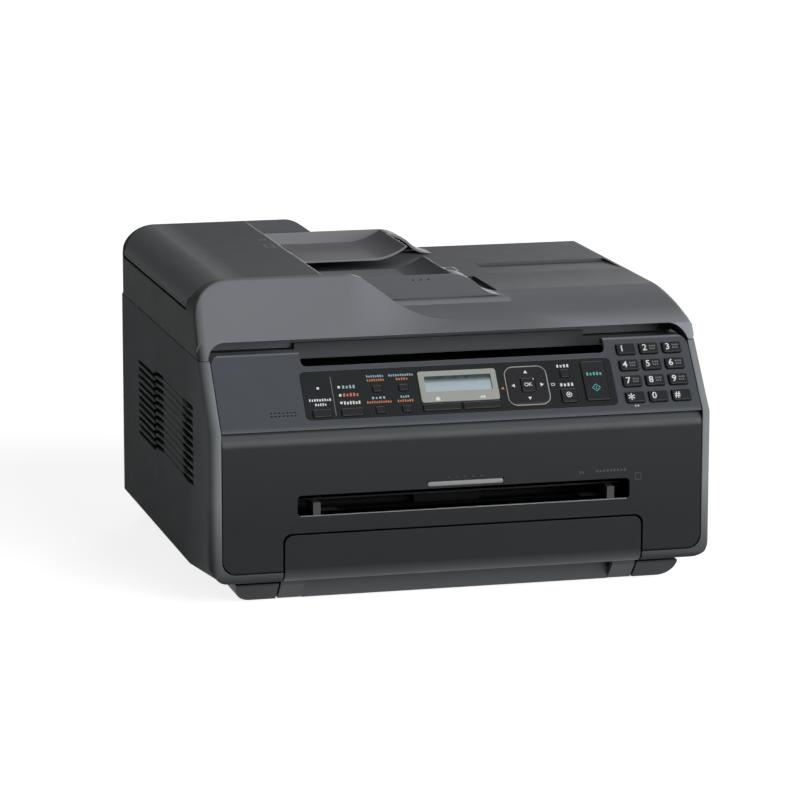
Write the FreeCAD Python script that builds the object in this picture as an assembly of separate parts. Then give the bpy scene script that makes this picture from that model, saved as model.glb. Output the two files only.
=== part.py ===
import FreeCAD, Part
import os

V = FreeCAD.Vector

# Overall size in mm, origin on the floor under the middle of the machine, front towards -Y
HALF_WIDTH = 189.0
FRONT = -175.0
BACK = 175.0
TOP = 231.0
SKIN = 2.5

# Body skin
SEAM_Z = 176.5
UNDER_Z = 15.5
LIP_Z = 18.0
FRONT_ROUND = 8.0
BACK_ROUND = 12.0
NOSE_ROUND = 16.0
SIDE_ROUND = 4.0
WAIST_Y = -90.0
GROOVE_DEPTH = 0.5
RIM_INNER = 181.3
DOOR_SILL_Z = 26.2

# Sloping control panel, s runs up the slope from its foot and h stands off the face
PANEL_FOOT_Z = 130.4
PANEL_TILT = 39.1
PANEL_TOP_S = 67.0
PANEL_HALF = 180.8
PANEL_THICK = 3.0
NOTCH_X = (-114.5, 115.5)
NOTCH_S = 52.4
KEY_GAP = 0.4

# Front door, cassette and manual feed slot
DOOR_HALF = 180.8
DOOR_TOP_Z = 129.8
DOOR_AXIS = (-171.5, 37.0)
DOOR_LOW_Z = 26.8
DOOR_ROUND = 11.0
CASSETTE_HALF = 134.9
CASSETTE_TOP_Z = 53.7
SLOT_HALF = 125.3
SLOT_Z = (67.6, 82.6)
SHEET_HALF = 108.3

# Lid, feeder and document guides. The shoulder and twist run to the right along the feeder end:
# the shoulder gives the height of its top, the twist how far its front leans back as it rises
LID_Z = 177.2
LID_TOP_Z = 204.0
LID_BACK = 174.0
LID_BACK_ROUND = 16.0
LID_AXIS = (170.0, 181.2)
FEEDER_AXIS = (-185.5, 209.8)
FEEDER_ROUND = 26.0
FEEDER_CENTRE = (FEEDER_ROUND - HALF_WIDTH, TOP - FEEDER_ROUND)
FEEDER_RIGHT = -86.0
RIDGE_FOOT = -88.0
BACK_RIDGE_FOOT = 155.5
LID_EDGE = (-128.2, 188.4)
ARCH_TOP_Z = 188.6
BROW_ROUND = 2.0
STERN_SHIFT = 14.0
TWIST = [(-72, 0.437), (-56.2, 0.534), (-42.2, 0.811), (-22.2, 1.8), (-10, 2.7), (6, 3.35), (24, 3.5)]
SHOULDER = [(-72, TOP), (-56.2, 225), (-42.2, 214.6), (-22.2, 201.4), (-10, 197.2), (12, 194.6), (60, 190)]
GUIDE_PLATE_Z = 213.0
GUIDE_TOP_Z = 222.0
GUIDE_FRONT_Y = -70.5
GUIDE_BACK_Y = 152.5
GUIDE_DEPTH = 86.5

# Print engine shafts, as (y, z), and feeder shafts, as (x, z)
PICKUP_AXIS = (-112.0, 62.0)
DRUM_AXIS = (-8.0, 84.0)
FUSER_AXIS = (112.0, 92.0)
LIFT_AXIS = (55.0, 10.0)
ADF_PICKUP_AXIS = (-112.0, 216.5)
ADF_FEED_AXIS = (-140.0, 202.0)
RUN_FIT = 0.05

# Back door and power switch pivots, as (y, z)
REAR_AXIS = (172.0, 63.0)
SWITCH_AXIS = (167.0, 78.0)
SWITCH_X = 161.0
SCREW_SPOTS = [(x, z) for x in (-128.0, 0.0, 128.0) for z in (42.0, 164.0)]


def box(x0, x1, y0, y1, z0, z1):
    return Part.makeBox(x1 - x0, y1 - y0, z1 - z0, V(x0, y0, z0))


def bar_x(r, x0, x1, axis):
    return Part.makeCylinder(r, x1 - x0, V(x0, axis[0], axis[1]), V(1, 0, 0))


def bar_y(r, y0, y1, axis):
    return Part.makeCylinder(r, y1 - y0, V(axis[0], y0, axis[1]), V(0, 1, 0))


def joined(first, *rest):
    return first.multiFuse(list(rest)).removeSplitter()


def outline(steps, place):
    """A closed face. Each step is a point, or a point on an arc and the arc's end."""
    here = place(*steps[0])
    edges = []
    for step in steps[1:] + [steps[0]]:
        end = place(*step[-2:])
        if (end - here).Length < 1e-6:
            continue
        if len(step) == 4:
            edges.append(Part.Arc(here, place(*step[:2]), end).toShape())
        else:
            edges.append(Part.LineSegment(here, end).toShape())
        here = end
    return Part.Face(Part.Wire(edges))


def along_x(steps, x0, x1):
    return outline(steps, lambda y, z: V(x0, y, z)).extrude(V(x1 - x0, 0, 0))


def along_y(steps, y0, y1):
    return outline(steps, lambda x, z: V(x, y0, z)).extrude(V(0, y1 - y0, 0))


def along_z(steps, z0, z1):
    return outline(steps, lambda x, y: V(x, y, z0)).extrude(V(0, 0, z1 - z0))


def turn(centre, r, a0, a1):
    """An arc step about a centre, from one angle to the other in degrees."""
    mid = FreeCAD.Rotation(V(0, 0, 1), (a0 + a1) / 2).multVec(V(r, 0, 0))
    end = FreeCAD.Rotation(V(0, 0, 1), a1).multVec(V(r, 0, 0))
    return (centre[0] + mid.x, centre[1] + mid.y, centre[0] + end.x, centre[1] + end.y)


def rounded(x0, x1, y0, y1, r):
    """Steps of a rectangle with four equal round corners."""
    return [
        (x0 + r, y0),
        (x1 - r, y0),
        turn((x1 - r, y0 + r), r, -90, 0),
        (x1, y1 - r),
        turn((x1 - r, y1 - r), r, 0, 90),
        (x0 + r, y1),
        turn((x0 + r, y1 - r), r, 90, 180),
        (x0, y0 + r),
        turn((x0 + r, y0 + r), r, 180, 270),
    ]


def slab(x0, x1, s0, s1, h0, h1, r):
    """A flat plate with round corners, in panel coordinates."""
    return along_z(rounded(x0, x1, s0, s1, r), h0, h1)


def softened(shape, r, z):
    """The edges at one height rounded over."""
    edges = [e for e in shape.Edges if all(abs(v.Z - z) < 1e-6 for v in e.Vertexes)]
    return shape.makeFillet(r, edges)


def on_panel(shape):
    spot = FreeCAD.Placement(V(0, FRONT, PANEL_FOOT_Z), FreeCAD.Rotation(V(1, 0, 0), 90 - PANEL_TILT))
    return shape.transformed(spot.toMatrix())


def mirrored(shape):
    return shape.mirror(V(0, 0, 0), V(1, 0, 0))


def side_edges(shape, x, y_min, y_max):
    """Edges that lie in the plane of one side, between two depths."""
    found = []
    for e in shape.Edges:
        box_of = e.BoundBox
        if abs(box_of.XMin - x) < 1e-6 and abs(box_of.XMax - x) < 1e-6:
            if box_of.YMin > y_min and box_of.YMax < y_max:
                found.append(e)
    return found


def trough(half, low, r, y):
    """A cross-section of the body with two round lower corners."""
    steps = [
        (-half, 250),
        (-half, low + r),
        turn((-half + r, low + r), r, 180, 270),
        (half - r, low),
        turn((half - r, low + r), r, 270, 360),
        (half, 250),
    ]
    return outline(steps, lambda x, z: V(x, y, z))


def body(inset):
    """The outside of the body, or the same shape drawn in by the wall thickness."""
    half = HALF_WIDTH - inset
    front = FRONT + inset
    back = BACK - inset
    top = SEAM_Z if inset == 0 else SEAM_Z + 30
    slope = FreeCAD.Rotation(V(1, 0, 0), 90 - PANEL_TILT).multVec(V(0, 1, 0))
    lean = slope.y / slope.z
    foot = PANEL_FOOT_Z + inset * 0.36
    shell = along_x(
        [(front, 5), (front, foot), (front + (top - foot) * lean, top), (back, top), (back, 5)],
        -half,
        half,
    )
    bow = side_edges(shell, half, FRONT - 1, 5) + side_edges(shell, -half, FRONT - 1, 5)
    bow = [e for e in bow if e.BoundBox.ZLength > 20]
    shell = shell.makeFillet(FRONT_ROUND - inset, bow)
    stern = [e for x in (half, -half) for e in side_edges(shell, x, back - 1, back + 1)]
    shell = shell.makeFillet(BACK_ROUND - inset, stern)
    low = UNDER_Z + inset
    lip = 10 - inset
    heel = 18 - inset
    keel = [
        (front, 250),
        (front, 28),
        turn((front + lip, 28), lip, 180, 270),
        (front + lip, 0),
        (0, 0),
        (0, low),
        (back - heel, low),
        turn((back - heel, low + heel), heel, 270, 360),
        (back, 250),
    ]
    nose = trough(half, LIP_Z + inset, NOSE_ROUND - inset, front + lip)
    waist = trough(half, low, SIDE_ROUND - inset, WAIST_Y)
    sides = joined(
        nose.extrude(V(0, -20, 0)),
        Part.makeLoft([nose.OuterWire, waist.OuterWire], True, True),
        waist.extrude(V(0, BACK + 1 - WAIST_Y, 0)),
    )
    return shell.common(sides).common(along_x(keel, -200, 200))


# Skin of the body, then cut into its panels
whole = body(0)
skin = whole.cut(body(SKIN))
mouth = [
    (-RIM_INNER, 250),
    (-RIM_INNER, DOOR_SILL_Z + 10.5),
    turn((-RIM_INNER + 10.5, DOOR_SILL_Z + 10.5), 10.5, 180, 270),
    (RIM_INNER - 10.5, DOOR_SILL_Z),
    turn((RIM_INNER - 10.5, DOOR_SILL_Z + 10.5), 10.5, 270, 360),
    (RIM_INNER, 250),
]
skin = skin.cut(along_y(mouth, -190, -95))
skin = skin.cut(box(-136, 136, -190, 164, 0, 40))
skin = skin.cut(box(-145, 145, -158, 164, 0, 40))

# Louvres in the side, a long rear group with a kink and a short front group, joined by fine grooves
louvres = []
grooves = []
for row in range(11):
    z = 80.0 + 5.6 * row
    rear = [
        (97, z - 3),
        (32, z - 3.4),
        (28, z),
        (-2, z + 1.6),
        (-2, z + 4.6),
        (30, z + 3.6),
        (36, z),
        (97, z),
    ]
    fore = [(-71, z + 1.2), (-85, z - 1.2), (-112, z), (-112, z + 3.2), (-80, z + 3.2)]
    groove = [(-2.5, z + 2.8), (-74, z + 1.3), (-74, z + 2.1), (-2.5, z + 3.6)]
    louvres.append(along_x(rear, -195, -180))
    louvres.append(along_x(fore, -195, -180))
    grooves.append(along_x(groove, -195, GROOVE_DEPTH - HALF_WIDTH))

left_side = skin.common(box(-200, -100, -200, 163.6, 0, 200))
boss = box(-187.5, -181.6, -174.9, -165, 31, 43).common(whole)
left_side = joined(left_side, boss)
left_side = left_side.cut(bar_x(1.6 + RUN_FIT, -185.5, -170, DOOR_AXIS))
right_panel = mirrored(left_side)
right_panel = right_panel.cut([mirrored(cut) for cut in louvres[0::2]])
left_panel = left_side.cut(louvres + grooves)

rear_panel = skin.common(box(-200, 200, 164, 200, 0, 200))
rear_panel = rear_panel.cut(box(-100.7, 100.7, 160, 180, 59.4, 150.7))
hinge_boss = box(100.9, 106, 167.5, 174, 57, 69)
rear_panel = joined(rear_panel, hinge_boss, mirrored(hinge_boss))
rear_panel = rear_panel.cut(bar_x(1.5 + RUN_FIT, -105, 105, REAR_AXIS))
switch_boss = box(SWITCH_X - 10, SWITCH_X - 6.6, 166, 174, 74, 82)
rear_panel = joined(rear_panel, switch_boss, switch_boss.translated(V(16.6, 0, 0)))
rear_panel = rear_panel.cut(box(SWITCH_X - 6.5, SWITCH_X + 6.5, 160, 180, 67, 89))
rear_panel = rear_panel.cut(bar_x(1.5 + RUN_FIT, SWITCH_X - 9, SWITCH_X + 9, SWITCH_AXIS))
SOCKETS = [
    (SWITCH_X, 46.0, 27.0, 19.0, 23.5, 16.0),
    (-158.0, 120.0, 14.0, 13.0, 9.8, 7.0),
    (-158.0, 100.0, 14.0, 13.0, 9.8, 7.0),
    (-158.0, 78.0, 13.0, 12.0, 8.6, 7.8),
    (-158.0, 54.0, 17.0, 15.0, 11.8, 9.0),
]
socket_parts = []
for x, z, wide, high, hole_wide, hole_high in SOCKETS:
    rear_panel = rear_panel.cut(box(x - wide / 2, x + wide / 2, 165, 180, z - high / 2, z + high / 2))
    shell = box(x - wide / 2, x + wide / 2, 156, 174.4, z - high / 2, z + high / 2)
    flange = box(x - wide / 2 - 2, x + wide / 2 + 2, 169.5, 172.5, z - high / 2 - 2, z + high / 2 + 2)
    hollow = box(x - hole_wide / 2, x + hole_wide / 2, 159, 180, z - hole_high / 2, z + hole_high / 2)
    socket_parts.append(joined(shell, flange).cut(hollow))
for x, z in SCREW_SPOTS:
    rear_panel = rear_panel.cut(Part.makeCylinder(3.4, 2, V(x, BACK - 1.5, z), V(0, 1, 0)))
inlet_x, inlet_z = SOCKETS[0][:2]
blades = []
for dx, dz in ((-7, -1.5), (7, -1.5), (0, 2.5)):
    blades.append(box(inlet_x + dx - 1, inlet_x + dx + 1, 158, 170, inlet_z + dz - 2, inlet_z + dz + 2))
socket_parts[0] = joined(socket_parts[0], *blades)
rear_sockets = Part.makeCompound(socket_parts)

# Back door with a bead round its hinge line
rear_cover = box(-100, 100, 172.5, 175, 63, 150)
rear_cover = joined(rear_cover, bar_x(3, -100, 100, REAR_AXIS))
rear_cover = rear_cover.cut(box(-20, 20, 174, 176, 143, 149))
rear_cover = joined(rear_cover, bar_x(1.5, -104.5, 104.5, REAR_AXIS))

# Rocker of the power switch, resting tipped to one side
rocker = along_x(
    [(163, 69), (171.2, 68.4), (173.6, 70), (172.4, 78), (173.6, 86), (171.2, 87.6), (163, 87)],
    SWITCH_X - 6.1,
    SWITCH_X + 6.1,
)
rocker = joined(rocker, bar_x(1.5, SWITCH_X - 8.8, SWITCH_X + 8.8, SWITCH_AXIS))
power_switch = rocker.rotated(V(0, SWITCH_AXIS[0], SWITCH_AXIS[1]), V(1, 0, 0), -5)

# Plinth, cassette bay and uprights
plinth_x = [
    (-168, 15.3),
    (-168, 13),
    turn((-156, 13), 12, 180, 270),
    (156, 1),
    turn((156, 13), 12, 270, 360),
    (168, 15.3),
]
base = along_y(plinth_x, -165, 168)
base = base.common(along_x([(-161, 15.3), (-161, 14), (-149, 1), (168, 1), (168, 15.3)], -200, 200))
base = base.cut(box(-136.2, 136.2, -170, 160, 3, 20))
base = base.cut(box(-136.2, 136.2, -170, -139, 0, 20))
upright_side = [(-141, 10), (-141, 46), (-132, 60), (-132, 96), (-120, 158), (150, 158), (150, 10)]
upright = along_x(upright_side, -143, -140)
window =along_x([(20, 70), (20, 118), (70, 118), (70, 70)], -150, -130)
rail = box(-140.5, -126, -104, 20, 70, 73.6)
ledge = box(-160, -140, -98, 150, 155, 158)
base = joined(base, upright.cut(window), rail, ledge)
base = joined(base, mirrored(upright.cut(window)), mirrored(rail), mirrored(ledge))
back_wall = box(-143, 143, 161, 164, 1, 150).cut(box(-98, 98, 150, 170, 64, 151))
corner = box(-143, -139.9, 149, 162, 10, 150)
base = joined(base, back_wall, corner, mirrored(corner))
base = joined(base, box(-140.5, 140.5, -42, 82, 119.5, 122))
for axis, r in ((PICKUP_AXIS, 3), (FUSER_AXIS, 4)):
    base = base.cut(bar_x(r + RUN_FIT, -145, 145, axis))
foot_spots = [(x, y) for x in (-148, 148) for y in (-128, 148)]
for x, y in foot_spots:
    base = base.cut(Part.makeCylinder(9, 3, V(x, y, 0)))
base_frame = base
rubber_feet = Part.makeCompound([Part.makeCylinder(9, 3, V(x, y, 0)) for x, y in foot_spots])

# Paper cassette, its front carries the lip and the finger recess
skin_line = [
    (FRONT, CASSETTE_TOP_Z),
    (FRONT, 28),
    turn((FRONT + 10, 28), 10, 180, 270),
    (-161, LIP_Z - 0.2),
]
back_line = [
    (-165, 21),
    turn((FRONT + 10, 28), 7, 270, 180),
    (FRONT + 3, CASSETTE_TOP_Z),
]
sole_line = [(-142, 1.2), (-142, 5.4)]
ends = skin_line + [(-161, 14), (-149, 1.2)] + sole_line + [(-146, 5.4), (-157, 18), (-157, 21)] + back_line
middle = skin_line + [(-150, LIP_Z - 0.8), (-150, 1.2)] + sole_line + [(-147, 5.4), (-147, 21)] + back_line
tray = joined(
    along_x(middle, -117, 117),
    along_x(ends, -CASSETTE_HALF, -117),
    along_x(ends, 117, CASSETTE_HALF),
)
face = along_y(
    [
        (-CASSETTE_HALF, 0),
        (CASSETTE_HALF, 0),
        (CASSETTE_HALF, CASSETTE_TOP_Z - 6.5),
        turn((CASSETTE_HALF - 6.5, CASSETTE_TOP_Z - 6.5), 6.5, 0, 90),
        (6.5 - CASSETTE_HALF, CASSETTE_TOP_Z),
        turn((6.5 - CASSETTE_HALF, CASSETTE_TOP_Z - 6.5), 6.5, 90, 180),
    ],
    -180,
    -130,
)
tray = tray.common(face)
wall = box(-134.6, -132.1, -172.5, 158, 3.6, 40)
slant = [(-180, 0), (-180, 50), (-171.8, 50), (-171.8, 27), (-160, 19), (-146, 3), (-146, 0)]
wall = wall.cut(along_x(slant, -140, -130))
floor = box(-134.6, 134.6, -144, 158, 3.6, 5.4)
fore_wall = box(-134.6, 134.6, -147, -144.5, 3.6, 36)
aft_wall = box(-134.6, 134.6, 155.5, 158, 3.6, 40)
tray = joined(tray, floor, wall, mirrored(wall), fore_wall, aft_wall)
paper_cassette = tray.cut(bar_x(2 + RUN_FIT, -133.9, 133.9, LIFT_AXIS))

lift = box(-108, 108, -143, 55, 8, 9.2)
lift = joined(lift, bar_x(2, -133.5, 133.5, LIFT_AXIS))
lift_plate = lift.cut(box(-40, 40, -144, -120, 0, 20))

# Front door with the manual feed slot
door_face = [
    (-DOOR_HALF, DOOR_TOP_Z),
    (-DOOR_HALF, DOOR_LOW_Z + DOOR_ROUND),
    turn((DOOR_ROUND - DOOR_HALF, DOOR_LOW_Z + DOOR_ROUND), DOOR_ROUND, 180, 270),
    (-136, DOOR_LOW_Z),
    (-136, 48.3),
    turn((-129.5, 48.3), 6.5, 180, 90),
    (129.5, 54.8),
    turn((129.5, 48.3), 6.5, 90, 0),
    (136, DOOR_LOW_Z),
    (DOOR_HALF - DOOR_ROUND, DOOR_LOW_Z),
    turn((DOOR_HALF - DOOR_ROUND, DOOR_LOW_Z + DOOR_ROUND), DOOR_ROUND, 270, 360),
    (DOOR_HALF, DOOR_TOP_Z),
]
door_side = [
    (FRONT, DOOR_LOW_Z + 1.5),
    (FRONT, DOOR_TOP_Z - 10),
    turn((FRONT + 10, DOOR_TOP_Z - 10), 10, 180, 90),
    (FRONT + 12, DOOR_TOP_Z),
    (FRONT + 12, DOOR_TOP_Z - 3),
    (FRONT + 10, DOOR_TOP_Z - 3),
    turn((FRONT + 10, DOOR_TOP_Z - 10), 7, 90, 180),
    (FRONT + 3, DOOR_LOW_Z),
    (FRONT + 1.5, DOOR_LOW_Z),
    turn((FRONT + 1.5, DOOR_LOW_Z + 1.5), 1.5, 270, 180),
]
door = along_x(door_side, -DOOR_HALF, DOOR_HALF).common(along_y(door_face, -190, -150))
door = door.cut(along_y(rounded(-SLOT_HALF, SLOT_HALF, SLOT_Z[0], SLOT_Z[1], 3), -190, -150))
duct = along_x(
    [(-172.1, 65), (-148, 65), (-148, 67), (-172.1, 67)],
    -SLOT_HALF - 2,
    SLOT_HALF + 2,
)
hood = along_x(
    [(-172.1, 83.2), (-170, 83.2), (-150, 74), (-148, 74), (-148, 76), (-170, 86), (-172.1, 86)],
    -SLOT_HALF - 2,
    SLOT_HALF + 2,
)
cheek = along_x([(-172.1, 65), (-148, 65), (-148, 76), (-170, 86), (-172.1, 86)], -SLOT_HALF - 2, -SLOT_HALF)
scoop = along_x([(FRONT - 0.1, 84.2), (FRONT + 1.9, 87.2), (FRONT + 1.9, 88), (FRONT - 0.1, 88)], -29, 29)
pin = joined(bar_x(3, 166, DOOR_HALF - 0.3, DOOR_AXIS), bar_x(1.6, 174, 185, DOOR_AXIS))
front_cover = joined(door.cut(scoop), duct, hood, cheek, mirrored(cheek), pin, mirrored(pin))

# Manual feed guides, two fences on the floor of the slot
fence = along_x(
    [
        (-174.4, 67.7),
        (-174.4, 77),
        (-166, 77),
        (-160, 75.5),
        (-151, 73.4),
        (-151, 67.1),
        (-171.5, 67.1),
        (-171.5, 67.7),
    ],
    SHEET_HALF,
    SHEET_HALF + 5.4,
)
sole = box(92, SHEET_HALF + 0.1, -168, -152, 67.1, 68.1)
manual_guide_right = joined(fence, sole)
manual_guide_left = mirrored(manual_guide_right)

# Control panel, drawn flat in its own coordinates
KEYS = {"key_%s" % name: (x - 7.05, x + 7.05, s - 4.5, s + 4.5) for name, x, s in (
    ("1", 131.7, 53.9), ("2", 149.4, 53.9), ("3", 167.2, 53.9),
    ("4", 131.7, 40.5), ("5", 149.4, 40.5), ("6", 167.2, 40.5),
    ("7", 131.7, 27.1), ("8", 149.4, 27.1), ("9", 167.2, 27.1),
    ("star", 131.7, 13.7), ("0", 149.4, 13.7), ("hash", 167.2, 13.7),
)}
KEYS.update({
    "start_key": (94.5, 112.5, 12.6, 45.0),
    "stop_key": (75.8, 87.6, 12.2, 23.4),
    "menu_key": (77.9, 84.7, 32.8, 39.4),
    "soft_key_left": (-29.7, -1.2, 10.8, 16.6),
    "soft_key_right": (0.4, 29.0, 10.8, 16.6),
    "auto_answer_key": (-111.9, -98.0, 10.0, 16.4),
    "mode_key": (-90.8, -74.2, 10.0, 16.2),
    "quality_key": (-64.9, -58.1, 28.4, 33.8),
    "options_key": (-45.2, -38.4, 28.4, 33.8),
    "format_key": (-64.9, -58.1, 11.0, 16.4),
    "zoom_key": (-45.2, -38.4, 11.0, 16.4),
})
OK_AREA = (46.6, 57.0, 22.0, 33.4)
NAV_AREA = (36.0, 66.8, 12.2, 43.0)
NAV_MID = (51.4, 27.6)
NAV_PIVOT_H = -5.2
LCD_AREA = (-30.0, 29.2, 17.7, 43.2)
LCD_WINDOW = (-25.4, 24.8, 26.2, 39.0)
OVERLAY_AREA = (-117.2, 118.0, 8.4, 48.0)


def grown(area, by):
    return (area[0] - by, area[1] + by, area[2] - by, area[3] + by)


def key(area, r, top):
    cap = softened(slab(*area, -4.4, top, r), 0.7, top)
    return joined(cap, slab(*grown(area, 0.6), -4.8, -3.4, r))


side_line = [
    (0.8, -0.8),
    (2.9, -0.2, 5, 0),
    (PANEL_TOP_S - 5, 0),
    turn((PANEL_TOP_S - 5, -5), 5, 90, 0),
    (PANEL_TOP_S, -8),
    (PANEL_TOP_S - 3, -8),
    (PANEL_TOP_S - 3, -5),
    turn((PANEL_TOP_S - 5, -5), 2, 0, 90),
    (3.6, -PANEL_THICK),
]
sheet = outline(side_line, lambda s, h: V(-PANEL_HALF, s, h)).extrude(V(2 * PANEL_HALF, 0, 0))
frame_line = [
    (-PANEL_HALF, 0),
    (PANEL_HALF, 0),
    (PANEL_HALF, PANEL_TOP_S - 12),
    turn((PANEL_HALF - 12, PANEL_TOP_S - 12), 12, 0, 90),
    (NOTCH_X[1], PANEL_TOP_S),
    (NOTCH_X[1], NOTCH_S + 4),
    turn((NOTCH_X[1] - 4, NOTCH_S + 4), 4, 360, 270),
    (NOTCH_X[0] + 4, NOTCH_S),
    turn((NOTCH_X[0] + 4, NOTCH_S + 4), 4, 270, 180),
    (NOTCH_X[0], PANEL_TOP_S),
    (12 - PANEL_HALF, PANEL_TOP_S),
    turn((12 - PANEL_HALF, PANEL_TOP_S - 12), 12, 90, 180),
]
sheet = sheet.common(along_z(frame_line, -20, 20))
sheet = sheet.cut(slab(*OVERLAY_AREA, -1, 5, 4))
overlay = slab(*grown(OVERLAY_AREA, -0.15), -1, 0.25, 3.9)
for name, area in KEYS.items():
    r = 1.6 if name.startswith("key_") else 1.2
    hole = slab(*grown(area, KEY_GAP), -6, 6, r + KEY_GAP)
    sheet = sheet.cut(hole)
    overlay = overlay.cut(hole)
nav_hole = slab(*grown(NAV_AREA, 0.6), -6, 6, 6.6)
sheet = sheet.cut(nav_hole)
overlay = overlay.cut([nav_hole, slab(*grown(LCD_AREA, 0.1), -6, 6, 2.1)])
sheet = sheet.cut(slab(*grown(LCD_WINDOW, 0.5), -6, 6, 0.5))
holes = []
for col in range(7):
    for s in (12.9, 15.5):
        x = -142.7 + 2.97 * col
        holes.append(slab(x - 0.7, x + 0.7, s - 0.55, s + 0.55, -6, 6, 0.5))
sheet = sheet.cut(holes)
pivot = Part.makeCylinder(1.2 + RUN_FIT, 60, V(NAV_MID[0] - 30, NAV_MID[1], NAV_PIVOT_H), V(1, 0, 0))
pivot_boss = box(31.4, 34.6, NAV_MID[1] - 2.6, NAV_MID[1] + 2.6, -7.4, -2.9)
posts = [Part.makeCylinder(2, 5.6, V(x, s, -8.5)) for x in (-116, -70, 118.8, 178) for s in (12, 47.2)]
sheet = joined(sheet, pivot_boss, pivot_boss.translated(V(36.8, 0, 0)), *posts)
control_panel = on_panel(sheet.cut(pivot))
panel_overlay = on_panel(overlay)

bezel = softened(slab(*LCD_AREA, -1, 1.1, 2), 0.6, 1.1)
bezel = bezel.cut(slab(*LCD_WINDOW, -2, 3, 0.4))
bezel = bezel.cut(slab(*grown(LCD_WINDOW, 1.6), -2, 0.2, 0.4))
lcd_frame = on_panel(bezel)
lcd_screen = on_panel(slab(*grown(LCD_WINDOW, 1.5), -1, 0.2, 0.4))

nav = softened(slab(*NAV_AREA, -6.2, 1.5, 6), 0.8, 1.5)
nav = nav.cut(slab(*grown(OK_AREA, 0.45), -9, 9, 1.4))
stub = Part.makeCylinder(1.2, 4.2, V(32, NAV_MID[1], NAV_PIVOT_H), V(1, 0, 0))
far_stub = Part.makeCylinder(1.2, 4.2, V(66.6, NAV_MID[1], NAV_PIVOT_H), V(1, 0, 0))
nav_key = on_panel(joined(nav, stub, far_stub))
ok_key = on_panel(softened(slab(*OK_AREA, -6.2, 2.0, 1.0), 0.7, 2.0))

# Boards: one under the keys, one on the outside of the left upright
panel_board = on_panel(box(-120, 180.6, 9, 50.4, -10, -8.5))
main_board = box(-147.6, -146, -40, 140, 30, 150)
standoffs = [bar_x(2.5, -146, -143, (y, z)) for y in (-30, 130) for z in (36, 144)]
circuit_boards = Part.makeCompound([panel_board, joined(main_board, *standoffs)])

# Scanner bed with its glass and the sensor bar
bed = box(-186, 186, -102, 171.5, 163, 176.3)
bed = bed.makeFillet(12, [e for x in (-186, 186) for e in side_edges(bed, x, 171, 172)])
bed = bed.cut(box(-183.5, 183.5, -70, 162, 165, 173.8))
bed = bed.cut(box(-190, 190, -110, -72.5, 160, 169))
bed = bed.cut(box(-183.5, 183.5, -99.5, -72.5, 171, 173.8))
PLATEN = (-150.0, 152.0, -67.0, 151.0)
STRIP = (-173.0, -158.0, -67.0, 151.0)
glass_parts = []
for x0, x1, y0, y1 in (PLATEN, STRIP):
    bed = bed.cut(box(x0, x1, y0, y1, 174.4, 180))
    bed = bed.cut(box(x0 + 2.5, x1 - 2.5, y0 + 2.5, y1 - 2.5, 170, 180))
    glass_parts.append(box(x0 + 0.1, x1 - 0.1, y0 + 0.1, y1 - 0.1, 174.4, 176.3))
bed = joined(bed, box(-111, 111, -102, -99.5, 170, 181), box(-178, 178, 38, 42, 164.9, 167.2))
scanner_bed = bed
scanner_glass = Part.makeCompound(glass_parts)
scan_carriage = box(-174, -157, -66, 146, 166.4, 173).cut(box(-180, -150, 37.7, 42.3, 160, 167.5))

# Slope that printed sheets land on, under the scanner
output_tray = along_x(
    [
        (-134.5, 163),
        (-130, 163),
        (60, 141),
        (118, 141),
        (118, 139),
        (60, 139),
        (-131, 160.8),
        (-134.5, 160.8),
    ],
    -140,
    140,
)

# Lid: a sloping front, a flat top, and at the left the raised ends that hold the feeder
lid_line = [
    (-136.4, LID_Z),
    (-131.6, 182.8, *LID_EDGE),
    (-116.4, 192.5, -104, 195.5),
    (-75, 201, -45, LID_TOP_Z),
    (LID_BACK - 10, LID_TOP_Z),
    (168.8, 202, 170.2, 198),
    (LID_BACK, 184),
    (LID_BACK, LID_AXIS[1]),
    turn(LID_AXIS, 4, 360, 270),
]
lid = along_x(lid_line, -HALF_WIDTH, HALF_WIDTH)
lid = lid.makeFillet(5, [e for e in side_edges(lid, HALF_WIDTH, -150, 180) if e.BoundBox.ZMax > 182])
lid = lid.makeFillet(5, side_edges(lid, -HALF_WIDTH, -150, -128))


def raised(y0, y1):
    """The cross-section of the feeder end, high on the left with a curved shoulder on the right."""
    curve = Part.BSplineCurve()
    points = [V(x, y0, z) for x, z in SHOULDER]
    curve.interpolate(Points=points, InitialTangent=V(1, 0, 0), FinalTangent=V(1, 0, -0.08))
    mid = turn(FEEDER_CENTRE, FEEDER_ROUND, 180, 90)
    low_right = V(points[-1].x, y0, 182)
    low_left = V(-HALF_WIDTH, y0, 182)
    side = V(-HALF_WIDTH, y0, FEEDER_CENTRE[1])
    crown = V(FEEDER_CENTRE[0], y0, TOP)
    edges = [
        Part.LineSegment(points[-1], low_right).toShape(),
        Part.LineSegment(low_right, low_left).toShape(),
        Part.LineSegment(low_left, side).toShape(),
        Part.Arc(side, V(mid[0], y0, mid[1]), crown).toShape(),
        Part.LineSegment(crown, points[0]).toShape(),
        curve.toShape(),
    ]
    return Part.Face(Part.Wire(edges)).extrude(V(0, y1 - y0, 0))


def leaning(x, lean):
    """The point that a front face of some lean reaches just above the top."""
    return V(x, LID_EDGE[0] + lean * (TOP + 0.05 - LID_EDGE[1]), TOP + 0.05)


def touches(point, solids):
    return min(solid.distToShape(Part.Vertex(point))[0] for solid in solids) < 1e-3


def brow_edges(shape, fronts):
    """Edges where the front face of the feeder end meets its top and its side."""
    found = []
    for e in shape.Edges:
        span = e.LastParameter - e.FirstParameter
        spots = [e.valueAt(e.FirstParameter + span * t) for t in (0.1, 0.5)]
        if spots[1].z > 192 and all(touches(spot, fronts) for spot in spots):
            found.append(e)
    return found


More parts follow.
